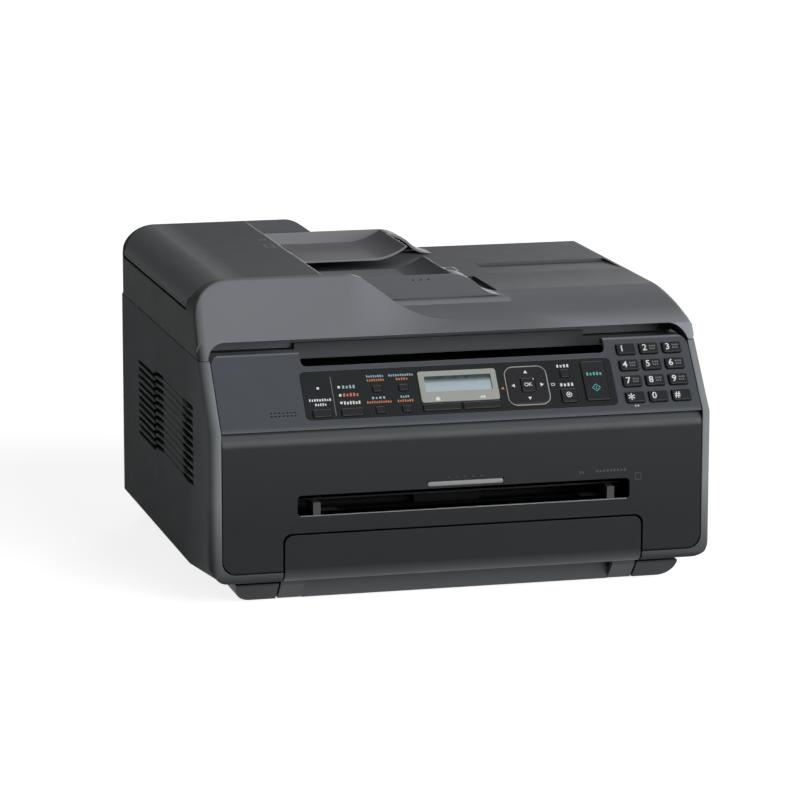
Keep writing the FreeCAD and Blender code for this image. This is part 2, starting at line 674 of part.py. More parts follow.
# Everything in front of the feeder end: its face leans back at the left, lies down to the right
turn_line = Part.BSplineCurve()
turn_line.interpolate(
    Points=[leaning(x, lean) for x, lean in TWIST],
    InitialTangent=V(1, 0, 0),
    FinalTangent=V(1, 0, 0),
)
stations = [(-200, TWIST[0][1]), TWIST[0], TWIST[-1], (200, TWIST[-1][1])]
feet = [V(x, *LID_EDGE) for x, lean in stations]
heads = [leaning(x, lean) for x, lean in stations]
twisted = Part.makeRuledSurface(Part.LineSegment(feet[1], feet[2]).toShape(), turn_line.toShape())
upright = Part.Face(Part.makePolygon([feet[0], feet[1], heads[1], heads[0], feet[0]]))
lying = Part.Face(Part.makePolygon([feet[2], feet[3], heads[3], heads[2], feet[2]]))
fronts = [face.extrude(V(0, -300, 0)) for face in (upright, twisted, lying)]
front_ridge = [
    (LID_EDGE[0], 180),
    LID_EDGE,
    (-133, 193),
    (-133, 234),
    (-102.2, 234),
    (RIDGE_FOOT, LID_TOP_Z),
    (RIDGE_FOOT, 180),
]
rear_ridge = [
    (LID_BACK, 177.5),
    (LID_BACK, 184),
    (166, 214),
    (165.2, 226, 162.9, 232),
    (BACK_RIDGE_FOOT, LID_TOP_Z),
    (BACK_RIDGE_FOOT, 177.5),
]
brow = raised(-140, 180).common(along_x(front_ridge, -190, 120))
brow = brow.cut(fronts)
brow = brow.makeFillet(BROW_ROUND, brow_edges(brow, fronts))
stern_ridge = joined(raised(-140, 180), raised(-140, 180).translated(V(STERN_SHIFT, 0, 0)))
stern_ridge = stern_ridge.common(along_x(rear_ridge, -190, 60))
shelf = box(-86, 62, -77, -40, 196, LID_TOP_Z)
shelf_brow = [e for e in shelf.Edges if e.BoundBox.ZMin > LID_TOP_Z - 1 and e.BoundBox.YMax < -41]
shelf = shelf.makeFillet(4, shelf_brow)
lid = joined(lid, brow, stern_ridge, shelf, box(-HALF_WIDTH, -186.5, -100, 165, 190, 206.4))
plan = [
    (-HALF_WIDTH, -150),
    (HALF_WIDTH, -150),
    (HALF_WIDTH, LID_BACK - LID_BACK_ROUND),
    turn((HALF_WIDTH - LID_BACK_ROUND, LID_BACK - LID_BACK_ROUND), LID_BACK_ROUND, 0, 90),
    (LID_BACK_ROUND - HALF_WIDTH, LID_BACK),
    turn((LID_BACK_ROUND - HALF_WIDTH, LID_BACK - LID_BACK_ROUND), LID_BACK_ROUND, 90, 180),
]
lid = lid.common(along_z(plan, 170, 240))
arch = [
    (-182.5, 170),
    (182.5, 170),
    (182.5, ARCH_TOP_Z - 14),
    turn((168.5, ARCH_TOP_Z - 14), 14, 0, 90),
    (-168.5, ARCH_TOP_Z),
    turn((-168.5, ARCH_TOP_Z - 14), 14, 90, 180),
]
lid = lid.cut(along_y(arch, -150, -97.5))
lid = lid.cut(box(-186.5, FEEDER_RIGHT - 3, RIDGE_FOOT, BACK_RIDGE_FOOT, 188, 240))
lid = lid.cut(box(-173, -158, -68, 148, 170, 190))
lid = lid.cut(box(-82, 146, -60, 146, 170, 198))
lid = lid.cut(box(-150.5, 152.5, -70.5, 150.5, 170, 180))
lid = lid.cut(along_x([(28, LID_TOP_Z), (78, LID_TOP_Z - 2.2), (78, 210), (28, 210)], 76, 182.5))
lid = lid.cut(box(44, 60, -47, 21, LID_TOP_Z - 3, 210))
for x in (-122, 122):
    lid = lid.cut(box(x - 8, x + 8, 163, 180, 170, 188))
    lid = lid.cut(bar_x(1.5 + RUN_FIT, x - 13.5, x + 13.5, LID_AXIS))
lid = lid.cut(bar_y(1.5 + RUN_FIT, RIDGE_FOOT - 9.5, BACK_RIDGE_FOOT + 6.5, FEEDER_AXIS))
lid = lid.cut(bar_y(3 + RUN_FIT, RIDGE_FOOT - 5.5, BACK_RIDGE_FOOT + 5.5, ADF_FEED_AXIS))
document_cover = lid

platen_pad = box(-150, 152, -70, 150, 176.6, 180)

hinge_parts = []
for x in (-122, 122):
    post = box(x - 5, x + 5, 166.4, 171.5, 176.3, LID_AXIS[1])
    hinge_parts.append(joined(post, bar_x(3.6, x - 5, x + 5, LID_AXIS), bar_x(1.5, x - 13, x + 13, LID_AXIS)))
lid_hinges = Part.makeCompound(hinge_parts)

# Feeder cover, a curved shell that swings up about its left edge
shell_line = [
    (-HALF_WIDTH, FEEDER_CENTRE[1]),
    turn(FEEDER_CENTRE, FEEDER_ROUND, 180, 90),
    (FEEDER_RIGHT - 5, TOP),
    turn((FEEDER_RIGHT - 5, TOP - 5), 5, 90, 0),
    (FEEDER_RIGHT, 221),
    (FEEDER_RIGHT - 2.5, 221),
    (FEEDER_RIGHT - 2.5, TOP - 5),
    turn((FEEDER_RIGHT - 5, TOP - 5), 2.5, 0, 90),
    (FEEDER_CENTRE[0], TOP - SKIN),
    turn(FEEDER_CENTRE, FEEDER_ROUND - SKIN, 90, 180),
]
reach = [
    (RIDGE_FOOT + 0.9, LID_TOP_Z),
    (-101.3, 234),
    (162.1, 234),
    (BACK_RIDGE_FOOT - 0.9, LID_TOP_Z),
]
adf = along_y(shell_line, -120, 170).common(along_x(reach, -200, -60))
adf = adf.common(box(-200, 0, -150, LID_BACK, FEEDER_AXIS[1], TOP)).common(along_z(plan, 170, 240))
bead_length = bar_y(3, -120, 170, FEEDER_AXIS).common(along_x(reach, -200, -60))
hangers = [box(-116.5, -107.5, y, y + 3, 212, TOP - 1) for y in (-32, 109)]
adf = joined(adf, bead_length, *hangers)
adf = adf.cut(bar_y(2.5 + RUN_FIT, -40, 120, ADF_PICKUP_AXIS))
adf = adf.cut(bar_y(6.5, -120, RIDGE_FOOT - 0.3, FEEDER_AXIS))
adf = adf.cut(bar_y(6.5, BACK_RIDGE_FOOT + 0.3, 175, FEEDER_AXIS))
adf_cover = joined(adf, bar_y(1.5, RIDGE_FOOT - 8.5, BACK_RIDGE_FOOT + 5.5, FEEDER_AXIS))

adf_pickup_roller = joined(bar_y(2.5, -31.5, 111.5, ADF_PICKUP_AXIS), bar_y(7, 20, 62, ADF_PICKUP_AXIS))
adf_feed_roller = joined(bar_y(3, -93, 160, ADF_FEED_AXIS), bar_y(9, 0, 82, ADF_FEED_AXIS))

# Document guides: a plate that curls up at its right end, with an outer wall and a sloping end
curl = [
    (-95, GUIDE_PLATE_Z - 1.8),
    (-6, GUIDE_PLATE_Z - 1.8),
    (8, 214.6, 19.5, GUIDE_TOP_Z - 0.6),
    (18, GUIDE_TOP_Z),
    (7, 216.2, -6, GUIDE_PLATE_Z),
    (-95, GUIDE_PLATE_Z),
]
flank = [
    (-84, LID_TOP_Z + 0.4),
    (56, LID_TOP_Z + 0.4),
    (49, 206.2, 38, 213),
    (28, 219.8, 18, GUIDE_TOP_Z),
    (-84, GUIDE_TOP_Z),
]
tail = [
    (54, LID_TOP_Z + 0.4),
    (56, LID_TOP_Z + 0.4),
    (49, 206.2, 38, 213),
    (28, 219.8, 18, GUIDE_TOP_Z),
    (18, GUIDE_TOP_Z - 2),
    (27, 217.8, 36.6, 211.5),
    (47, 205.2, 54, LID_TOP_Z + 0.4),
]
near = GUIDE_FRONT_Y
far = GUIDE_BACK_Y
document_guide_front = joined(
    along_y(curl, near, near + GUIDE_DEPTH),
    along_y(flank, near, near + 2.5),
    along_y(tail, near, near + 23),
)
document_guide_rear = joined(
    along_y(curl, far - GUIDE_DEPTH, far),
    along_y(flank, far - 2.5, far),
    along_y(tail, far - 23, far),
)

# Print engine
pickup_roller = joined(bar_x(3, -143, 143, PICKUP_AXIS), bar_x(12, -25, 25, PICKUP_AXIS))
cartridge = box(-124, 124, -100, 12, 74, 112)
cartridge = cartridge.cut(bar_x(16.5, -117, 117, DRUM_AXIS))
cartridge = cartridge.cut(box(-117, 117, -24.5, 12.1, 70, 84))
toner_cartridge = cartridge.cut(bar_x(4 + RUN_FIT, -125, 125, DRUM_AXIS))
drum = joined(bar_x(15, -115, 115, DRUM_AXIS), bar_x(4, -123.5, 123.5, DRUM_AXIS))
fuser_roller = joined(bar_x(12, -118, 118, FUSER_AXIS), bar_x(4, -143, 143, FUSER_AXIS))
laser_unit = joined(box(-90, 90, -36, 40, 122, 138), box(-60, 60, 40, 76, 122, 132))

nodes = {
    "base_frame": base_frame,
    "rubber_feet": rubber_feet,
    "left_panel": left_panel,
    "right_panel": right_panel,
    "rear_panel": rear_panel,
    "rear_cover": rear_cover,
    "rear_sockets": rear_sockets,
    "power_switch": power_switch,
    "output_tray": output_tray,
    "scanner_bed": scanner_bed,
    "scanner_glass": scanner_glass,
    "scan_carriage": scan_carriage,
    "control_panel": control_panel,
    "panel_overlay": panel_overlay,
    "lcd_frame": lcd_frame,
    "lcd_screen": lcd_screen,
    "nav_key": nav_key,
    "ok_key": ok_key,
    "document_cover": document_cover,
    "platen_pad": platen_pad,
    "lid_hinges": lid_hinges,
    "adf_cover": adf_cover,
    "adf_pickup_roller": adf_pickup_roller,
    "adf_feed_roller": adf_feed_roller,
    "document_guide_front": document_guide_front,
    "document_guide_rear": document_guide_rear,
    "front_cover": front_cover,
    "manual_guide_left": manual_guide_left,
    "manual_guide_right": manual_guide_right,
    "paper_cassette": paper_cassette,
    "lift_plate": lift_plate,
    "pickup_roller": pickup_roller,
    "toner_cartridge": toner_cartridge,
    "drum": drum,
    "fuser_roller": fuser_roller,
    "laser_unit": laser_unit,
    "circuit_boards": circuit_boards,
}
for name, area in KEYS.items():
    if name.startswith("key_"):
        nodes[name] = on_panel(key(area, 1.6, 2.0))
    else:
        nodes[name] = on_panel(key(area, 1.2, 1.3))

os.makedirs("parts", exist_ok=True)
for name, shape in nodes.items():
    shape.exportStep("parts/%s.step" % name)
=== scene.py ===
import math

import bmesh
import bpy
from mathutils import Matrix, Vector


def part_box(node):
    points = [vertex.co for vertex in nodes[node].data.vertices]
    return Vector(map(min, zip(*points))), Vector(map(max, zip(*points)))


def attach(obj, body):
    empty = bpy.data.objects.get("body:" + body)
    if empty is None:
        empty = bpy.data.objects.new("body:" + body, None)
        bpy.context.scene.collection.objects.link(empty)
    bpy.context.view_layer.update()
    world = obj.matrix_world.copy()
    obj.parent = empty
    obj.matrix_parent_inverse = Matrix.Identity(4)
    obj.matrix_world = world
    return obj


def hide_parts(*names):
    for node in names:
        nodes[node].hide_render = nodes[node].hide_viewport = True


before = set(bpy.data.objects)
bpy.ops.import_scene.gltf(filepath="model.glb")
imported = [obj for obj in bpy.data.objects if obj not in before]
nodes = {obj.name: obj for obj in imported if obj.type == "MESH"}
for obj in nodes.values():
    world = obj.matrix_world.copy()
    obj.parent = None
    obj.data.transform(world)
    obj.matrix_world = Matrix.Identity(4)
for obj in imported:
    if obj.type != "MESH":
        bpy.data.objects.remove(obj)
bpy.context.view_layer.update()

MM = 0.001
QUARTER_TURNS = (0, 90, 180, 270)


def face_plane(lean, foot):
    """A flat face: x across, s up a slope that leans back by some degrees, h off the face."""
    back = math.sin(math.radians(lean))
    up = math.cos(math.radians(lean))
    return Matrix((
        (1, 0, 0, foot[0] * MM),
        (0, back, -up, foot[1] * MM),
        (0, up, back, foot[2] * MM),
        (0, 0, 0, 1),
    ))


# The faces that carry print, trim and screws
PANEL_LEAN = 39.1
PANEL_FOOT_Z = 130.4
PANEL_FACE = face_plane(PANEL_LEAN, (0, -175, PANEL_FOOT_Z))
DOOR_FACE = face_plane(0, (0, -175, 0))
FLAP_FACE = face_plane(-65.3, (0, -150, 74))
GUIDE_WALL = face_plane(0, (0, -70.5, 0))
LID_TOP = face_plane(90, (0, 0, 204))
FEEDER_TOP = face_plane(90, (0, 0, 231))
BACK_FACE = face_plane(180, (0, 175, 0))

# Heights above the panel, in mm
OVERLAY_TOP = 0.25
DISPLAY_FRAME_TOP = 1.1
LOW_KEY = 1.3
NAV_TOP = 1.5
TALL_KEY = 2.0

# How far print stands off its face, and how far it is sunk
PRINT_DEPTH = 0.06
FILM = 0.02
LAMP_DEPTH = 0.1

# The number keys: where they lie, their figures, and the ticks beside most figures
DIGIT_COLUMNS = (131.7, 149.4, 167.2)
DIGIT_ROWS = (53.9, 40.5, 27.1, 13.7)
DIGIT_LAYOUT = ("123", "456", "789", "*0#")
DIGIT_NODES = {"*": "key_star", "#": "key_hash"}
FIGURE_LEFT = 3.3
FIGURE_SIZE = 7.2
FIGURE_DROP = 0.2
STAR_SIZE = 12.0
STAR_DROP = 2.6
FIGURE_BOLD = 0.1
TICKED_FIGURES = "23456789"
FIGURE_TICKS = ((2.6, 1.2, 5.2, 1.3, 4), (2.4, -1.0, 4.6, 1.3, 3))

# The four-way key and its centre key
NAV_MIDDLE = (51.4, 27.6)
NAV_ARROW_OUT = 10.6
NAV_ARROW_SIZE = 1.7
NAV_RING_REACH = 16.2
NAV_RING_CORNER = 7.2
NAV_RING_WALL = 0.75
NAV_RING_HEIGHTS = (0.1, 0.6)
OK_SIZE = 4.2
OK_MIDDLE = (51.8, 27.7)
OK_BOLD = 0.05
OK_DOT = (56.0, 56.6, 31.6, 32.9)

# Rows of ticks: x, s, width, height and number
WHITE_ROWS = (
    (-105.0, 24.2, 17.0, 2.0, 9),
    (-105.0, 20.4, 9.0, 2.0, 5),
    (-81.6, 20.9, 13.0, 2.6, 6),
    (80.9, 42.6, 10.2, 2.4, 4),
    (81.5, 27.0, 11.0, 2.6, 4),
)
STAR_KEY_ROW = (131.9, 6.9, 3.6, 1.4, 3)
BLUE_ROWS = (
    (-82.4, 33.9, 10.4, 2.6, 4),
    (-61.6, 41.6, 13.4, 1.8, 8),
    (-42.2, 41.6, 19.0, 1.8, 11),
    (-61.4, 23.8, 11.0, 1.8, 4),
    (-41.8, 23.8, 7.0, 1.8, 4),
)
ORANGE_ROWS = (
    (-81.6, 27.4, 12.4, 2.6, 5),
    (-61.6, 38.4, 13.4, 1.9, 8),
    (-41.8, 38.4, 9.4, 1.9, 5),
    (-61.4, 20.4, 19.0, 1.9, 11),
    (-41.8, 20.4, 12.4, 1.9, 7),
)
START_ROW = (103.4, 34.4, 12.6, 2.6, 5)
DOOR_ROWS = ((88.4, 88.8, 4.0, 2.0, 2), (111.0, 89.2, 24.0, 1.8, 9))
FEEDER_ROW = (-97, 66, 7, 3.6, 3)

# Small printed signs on the panel: outlines as x0, x1, s0, s1
PAGE_SIGN = (69.6, 72.4, 26.6, 28.8)
LAMP_MIDDLES = ((-105.3, 33.8), (-89.7, 33.9), (-89.6, 27.3), (-89.6, 21.1))
LAMP_REACH = 0.9
ALARM_ARROW = (32.6, 26.4)
ALARM_SIZE = 1.5
DIVIDER = (-95.1, -94.7, 10.6, 42.8)
DISPLAY_SIGNS = ((-19.2, -16.0, 18.7, 21.0), (-18.4, -16.8, 21.0, 21.7), (14.4, 15.8, 19.2, 20.9))
DISPLAY_ARROW = (17.2, 20.0)
DISPLAY_ARROW_SIZE = 1.7
START_MIDDLE = (103.3, 22.9)
START_REACH = 2.4
START_BAR = (-0.3, 0.3, -1.2, 1.2)
STOP_MIDDLE = (81.6, 18.2)
STOP_REACH = 2.2
STOP_SQUARE = (-0.8, 0.8, -0.8, 0.8)

# Pale plates at the feed slot, all painted light: a painted highlight in the scoop over the slot, a
# paler sheet on the shaded hood, and a painted highlight on the sill's edge. Columns: x0, x1, s0, s1,
# h0, h1, corner radius and corner steps
SCOOP_HIGHLIGHT = (-28.4, 28.9, 83.9, 87.7, -1.8, -0.1, 1.8, 6)
HOOD_LIT_SHEET = (-125, 125, 0.3, 21.4, 0.02, 0.5, 2.0, 4)
SILL_HIGHLIGHT = (-124.6, 124.6, 67.0, 67.65, -1.4, -0.05, 0.2, 2)

# Faint marks on the door, the guide, the lid and the feeder
BAR_DOT_COLUMNS = (-12.6, -6.4, -0.2, 6.0, 12.2)
BAR_DOT_REACH = 0.6
BAR_DOT_SPAN = (90.2, 91.0)
DOOR_SIGN = (129.6, 134.4, 81.0, 86.4)
GUIDE_DOT_COLUMNS = (-12.3, -6.4, -0.4)
GUIDE_DOT_REACH = 0.8
GUIDE_DOT_SPAN = (218.0, 219.2)
LID_SIGN = (46.4, 55.4, 46, 64)
FEEDER_SIGN = (-101.6, -94.4, 28, 44)

# The screws of the rear panel
SCREW_COLUMNS = (-128, 0, 128)
SCREW_ROWS = (42, 164)
SCREW_RADIUS = 2.9
SCREW_CROWN = 2.2
SCREW_DOME = 0.6
SCREW_DOME_SUNK = 0.4
SCREW_CROSS = 0.35
SCREW_DISC = 0.9
SCREW_DISC_SUNK = 1.1
SCREW_SIDES = 32

# The pad under the lid
PAD_CELLS = (28, 20)
PAD_SHORTER = 4
PAD_THINNER = 0.6
PAD_LIFT = 0.5
PAD_ROUNDING = 1.4

# How a shell is merged, flattened and rounded
MERGE_REACH = 0.002
FLAT_ANGLE = 0.8
SHARP_ANGLE = 35

# Moulded plastic: features of cloud and sheen per metre, how much each varies, the grain's depth
CLOUD_SCALE = 11
CLOUD_SHARE = 0.03
SHEEN_SCALE = 60
SHEEN_SPREAD = 0.03
GRAIN_DEPTH = 0.0002
WEAR_RADIUS = 0.8

# The display: the span of its window up the panel, and its tint from the foot of the window upwards,
# growing darker to a top band that is painted shadow of the frame
DISPLAY_WINDOW = (26.2, 39.0)
DISPLAY_TINTS_AND_SHADOW = (
    (0.0, (0.43, 0.49, 0.515)),
    (0.3, (0.4, 0.48, 0.53)),
    (0.58, (0.36, 0.44, 0.47)),
    (0.74, (0.13, 0.17, 0.175)),
    (0.86, (0.035, 0.048, 0.048)),
)

# Studio: the photograph's viewing angle, the floor and the lamps
CAMERA_PLACE = (-0.7590, -2.9070, 0.7186)
CAMERA_YAW = 14.562
CAMERA_PITCH = 11.396
CAMERA_ROLL = 0.091
CAMERA_LENS = 179.5
CAMERA_SENSOR = 36
CAMERA_FAR = 60
FLOOR_REACH = 20
FLOOR_GREY = 0.5
FLOOR_GLOW = 0.85
FRONT_STRENGTH = 3.4
FRONT_ANGLE = 50
FRONT_FROM = (0.5, -0.8, 0.33)
FILL_STRENGTH = 1.3
FILL_ANGLE = 16
FILL_FROM = (0.45, 0.88, 0.12)
STRIP_POWER = 30
STRIP_SIZE = (2.0, 0.7)
STRIP_PLACE = (0, 0.25, 1.3)
SURROUND_STRENGTH = 0.07


def shader_nodes(name):
    """A new material with its shader and Object coordinates."""
    material = bpy.data.materials.new(name)
    material.use_nodes = True
    tree = material.node_tree
    shader = tree.nodes["Principled BSDF"]
    place = tree.nodes.new("ShaderNodeTexCoord")
    return material, tree, shader, place.outputs["Object"]


def noise(tree, place, scale, detail=2.0):
    """Noise over the piece, in features per metre."""
    texture = tree.nodes.new("ShaderNodeTexNoise")
    texture.inputs["Scale"].default_value = scale
    texture.inputs["Detail"].default_value = detail
    tree.links.new(place, texture.inputs["Vector"])
    return texture.outputs["Fac"]


def spread(tree, value, low, high, start=0.3, stop=0.7):
    """The value stretched from start and stop to low and high."""
    reach = tree.nodes.new("ShaderNodeMapRange")
    reach.inputs["From Min"].default_value = start
    reach.inputs["From Max"].default_value = stop
    reach.inputs["To Min"].default_value = low
    reach.inputs["To Max"].default_value = high
    tree.links.new(value, reach.inputs["Value"])
    return reach.outputs["Result"]


def blended(tree, share, first, second):
    """Two colours mixed by a share; either may be a socket."""
    mix = tree.nodes.new("ShaderNodeMix")
    mix.data_type = "RGBA"
    tree.links.new(share, mix.inputs["Factor"])
    for socket, colour in ((mix.inputs[6], first), (mix.inputs[7], second)):
        if isinstance(colour, tuple):
            socket.default_value = (*colour, 1)
        else:
            tree.links.new(colour, socket)
    return mix.outputs[2]


def drawn_out(tree, place, scale):
    """Object coordinates stretched along an axis."""
    mapping = tree.nodes.new("ShaderNodeMapping")
    mapping.inputs["Scale"].default_value = scale
    tree.links.new(place, mapping.inputs["Vector"])
    return mapping.outputs["Vector"]


def grained(tree, shader, place, scale, strength, depth):
    """A fine moulded grain in the normals."""
    bump = tree.nodes.new("ShaderNodeBump")
    bump.inputs["Strength"].default_value = strength
    bump.inputs["Distance"].default_value = depth
    tree.links.new(noise(tree, place, scale, 3), bump.inputs["Height"])
    tree.links.new(bump.outputs["Normal"], shader.inputs["Normal"])


def edge_wear(tree, amount):
    """The given amount on an edge and nothing on the flat."""
    rounded_normal = tree.nodes.new("ShaderNodeBevel")
    rounded_normal.samples = 4
    rounded_normal.inputs["Radius"].default_value = WEAR_RADIUS * MM
    flat = tree.nodes.new("ShaderNodeNewGeometry")
    agree = tree.nodes.new("ShaderNodeVectorMath")
    agree.operation = "DOT_PRODUCT"
    tree.links.new(rounded_normal.outputs["Normal"], agree.inputs[0])
    tree.links.new(flat.outputs["Normal"], agree.inputs[1])
    return spread(tree, agree.outputs["Value"], amount, 0, 0.86, 0.99)


def clouded(tree, cloud, colour):
    """A colour a little deeper and a little paler from place to place."""
    deeper = tuple(c * (1 - CLOUD_SHARE) for c in colour)
    paler = tuple(c * (1 + CLOUD_SHARE) for c in colour)
    return blended(tree, cloud, deeper, paler)


def place_share(tree, place, axis, low, high):
    """Nothing at one place on an axis, rising to one at the other, in mm."""
    axes = tree.nodes.new("ShaderNodeSeparateXYZ")
    tree.links.new(place, axes.inputs["Vector"])
    return spread(tree, axes.outputs[axis], 0, 1, low * MM, high * MM)


def greater(tree, first, second):
    """The larger of two shares."""
    pick = tree.nodes.new("ShaderNodeMath")
    pick.operation = "MAXIMUM"
    tree.links.new(first, pick.inputs[0])
    tree.links.new(second, pick.inputs[1])
    return pick.outputs[0]


def moulded(name, colour, rough, gloss, grain=1500, relief=0.2, worn=0.3, painted_shading=()):
    """Moulded plastic: a faint cloud in the tint, uneven sheen, fine grain and rubbed edges. Each
    painted_shading entry is painted light or painted shade: another colour, then each axis with the two
    places between which it gives way."""
    material, tree, shader, place = shader_nodes(name)
    cloud = spread(tree, noise(tree, place, CLOUD_SCALE, 4), 0, 1)
    tint = clouded(tree, cloud, colour)
    for other, *reaches in painted_shading:
        share = place_share(tree, place, *reaches[0])
        for reach in reaches[1:]:
            share = greater(tree, share, place_share(tree, place, *reach))
        tint = blended(tree, share, clouded(tree, cloud, other), tint)
    rubbed = tuple(min(1, c * 1.7 + 0.01) for c in colour)
    tint = blended(tree, edge_wear(tree, worn), tint, rubbed)
    tree.links.new(tint, shader.inputs["Base Color"])
    sheen = spread(
        tree, noise(tree, place, SHEEN_SCALE, 3), rough - SHEEN_SPREAD, rough + SHEEN_SPREAD)
    tree.links.new(sheen, shader.inputs["Roughness"])
    shader.inputs["Specular IOR Level"].default_value = gloss
    grained(tree, shader, place, grain, relief, GRAIN_DEPTH)
    return material


def printed(name, colour):
    """Screen-printed ink, a little uneven."""
    material, tree, shader, place = shader_nodes(name)
    deep = tuple(c * 0.86 for c in colour)
    ink = blended(tree, spread(tree, noise(tree, place, 2200, 2), 0, 1), deep, colour)
    tree.links.new(ink, shader.inputs["Base Color"])
    shader.inputs["Roughness"].default_value = 0.55
    shader.inputs["Specular IOR Level"].default_value = 0.25
    grained(tree, shader, place, 4000, 0.1, 0.00005)
    return material


def brushed_steel():
    """Drawn steel: fine lines along x and a cool tint."""
    material, tree, shader, place = shader_nodes("brushed_steel")
    lines = noise(tree, drawn_out(tree, place, (30, 2500, 2500)), 1, 3)
    tint = blended(tree, spread(tree, lines, 0, 1), (0.42, 0.43, 0.45), (0.6, 0.61, 0.62))
    tree.links.new(tint, shader.inputs["Base Color"])
    tree.links.new(spread(tree, lines, 0.22, 0.4), shader.inputs["Roughness"])
    shader.inputs["Metallic"].default_value = 1
    return material


def drum_coating():
    """The drum's smooth blue-green coat with faint rings from use."""
    material, tree, shader, place = shader_nodes("drum_coating")
    band = noise(tree, drawn_out(tree, place, (180, 4, 4)), 1, 2)
    tint = blended(tree, spread(tree, band, 0, 1), (0.03, 0.19, 0.24), (0.05, 0.25, 0.3))
    tree.links.new(tint, shader.inputs["Base Color"])
    tree.links.new(spread(tree, band, 0.12, 0.22), shader.inputs["Roughness"])
    return material


def board_lacquer():
    """Green lacquer over copper runs."""
    material, tree, shader, place = shader_nodes("board_lacquer")
    runs = tree.nodes.new("ShaderNodeTexBrick")
    runs.inputs["Scale"].default_value = 160
    runs.inputs["Color1"].default_value = (0.012, 0.11, 0.045, 1)
    runs.inputs["Color2"].default_value = (0.016, 0.13, 0.05, 1)
    runs.inputs["Mortar"].default_value = (0.05, 0.2, 0.07, 1)
    runs.inputs["Mortar Size"].default_value = 0.03
    tree.links.new(place, runs.inputs["Vector"])
    tree.links.new(runs.outputs["Color"], shader.inputs["Base Color"])
    tree.links.new(spread(tree, noise(tree, place, 90), 0.3, 0.42), shader.inputs["Roughness"])
    return material


def platen_glass():
    """Thin clear glass with a green cast and a trace of dust."""
    material, tree, shader, place = shader_nodes("platen_glass")
    tint = blended(tree, noise(tree, place, 20), (0.86, 0.95, 0.92), (0.92, 0.98, 0.96))
    tree.links.new(tint, shader.inputs["Base Color"])
    tree.links.new(spread(tree, noise(tree, place, 40, 4), 0.01, 0.06), shader.inputs["Roughness"])
    shader.inputs["Transmission Weight"].default_value = 1
    shader.inputs["IOR"].default_value = 1.5
    return material


def display_glass():
    """The grey-blue display, darker upwards, with a dark top band that is painted shadow of the frame
    over the screen, and a faint cloud.
    """
    material, tree, shader, place = shader_nodes("display_glass")
    window = [PANEL_FOOT_Z + s * math.cos(math.radians(PANEL_LEAN)) for s in DISPLAY_WINDOW]
    rise = place_share(tree, place, "Z", *window)
    glow = tree.nodes.new("ShaderNodeValToRGB")
    ramp = glow.color_ramp.elements
    while len(ramp) < len(DISPLAY_TINTS_AND_SHADOW):
        ramp.new(0.5)
    for stop, (where, colour) in zip(ramp, DISPLAY_TINTS_AND_SHADOW):
        stop.position = where
        stop.color = (*colour, 1)
    tree.links.new(rise, glow.inputs["Fac"])
    cloud = spread(tree, noise(tree, place, 300), 0, 0.12)
    tint = blended(tree, cloud, glow.outputs["Color"], (0.3, 0.36, 0.38))
    tree.links.new(tint, shader.inputs["Base Color"])
    shader.inputs["Roughness"].default_value = 0.18
    shader.inputs["Specular IOR Level"].default_value = 0.4
    return material


def foam_white():
    """Pale closed-cell foam with a soft skin."""
    material, tree, shader, place = shader_nodes("foam_white")
    cells = noise(tree, place, 900, 4)
    tint = blended(tree, spread(tree, cells, 0, 1), (0.7, 0.7, 0.68), (0.8, 0.8, 0.79))
    tree.links.new(tint, shader.inputs["Base Color"])
    shader.inputs["Roughness"].default_value = 0.85
    grained(tree, shader, place, 1200, 0.3, 0.0003)
    return material


# Front door: painted shade makes it darker towards the bottom, standing in for a dimmer reflection
# there, and a painted highlight makes its top rounding lighter.
FRONT_BLACK = moulded("front_black", (0.0098, 0.012, 0.0135), 0.42, 0.22, painted_shading=(
    ((0.004, 0.0055, 0.0065), ("Z", 60, 122)),
    ((0.11, 0.12, 0.127), ("Z", 130, 119))))
# Cassette front: painted light makes it lighter towards the foot, where the lip above shades it.
TRAY_FRONT = moulded("tray_front", (0.0045, 0.006, 0.007), 0.42, 0.22, painted_shading=(
    ((0.06, 0.066, 0.071), ("Z", 22, 29)),))
# Side and rear panels: painted light makes them lighter towards the front, and painted shade darkens
# the low front rim.
SIDE_GREY = moulded("side_grey", (0.128, 0.138, 0.142), 0.7, 0.03, painted_shading=(
    ((0.21, 0.225, 0.232), ("Y", -158, -85)),
    ((0.055, 0.059, 0.062), ("Z", 18, 80), ("Y", -172, -158))))
# Lid: painted shade darkens it towards the back, painted light brightens its right front, painted shade
# darkens its left wall, and painted shade makes the strip of tray floor beside the feeder near black.
LID_GREY = moulded("lid_grey", (0.165, 0.173, 0.187), 0.6, 0.03, painted_shading=(
    ((0.092, 0.096, 0.104), ("Y", 20, -70)),
    ((0.34, 0.357, 0.385), ("X", 150, 60), ("Y", -150, -100)),
    ((0.074, 0.078, 0.08), ("X", -187.5, -182)),
    ((0.03, 0.032, 0.034),
     ("X", -60, -20), ("X", -84, -88), ("Y", -60, -70), ("Y", 130, 150), ("Z", 205, 208))))
GUIDE_GREY = moulded("guide_grey", (0.21, 0.212, 0.225), 0.6, 0.05)
